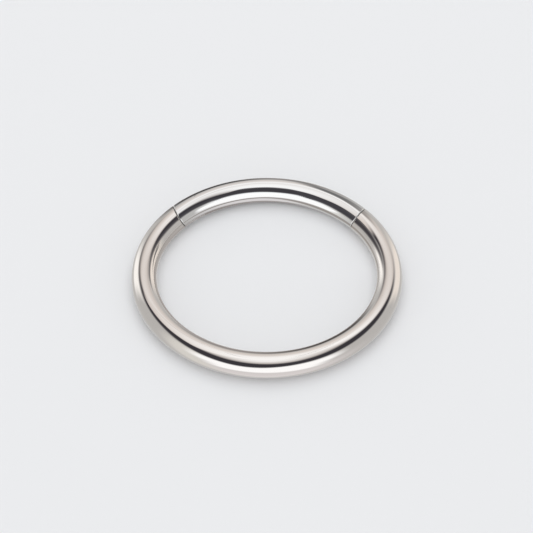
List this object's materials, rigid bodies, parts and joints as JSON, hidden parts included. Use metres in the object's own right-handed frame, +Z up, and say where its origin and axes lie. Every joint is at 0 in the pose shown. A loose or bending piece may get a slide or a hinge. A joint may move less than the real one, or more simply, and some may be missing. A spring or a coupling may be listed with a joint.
{
  "type": "segment ring",
  "caption": "Round wire body jewellery ring lying flat, closed at the back by a loose segment of the same wire that lifts off two hidden posts; mirror-polished silver-coloured metal.",
  "frame": {"origin": "middle of the ring, on the surface that it lies on", "axes": "+Z up, along the ring's own axis; +Y towards the middle of the loose segment; -Y is the front"},
  "size_m": [0.0172, 0.0172, 0.0016],
  "materials": {
    "ring_metal": "mirror polish, warm silver",
    "segment_metal": "mirror polish, slightly whiter silver"
  },
  "bodies": {
    "ring": {"ring_body": "ring_metal"},
    "segment": {"segment": "segment_metal"}
  },
  "joints": [
    {"name": "segment_lift", "type": "slide", "parent": "ring", "child": "segment", "axis": [0, 0, 1], "range_m": [0, 0.004]}
  ]
}
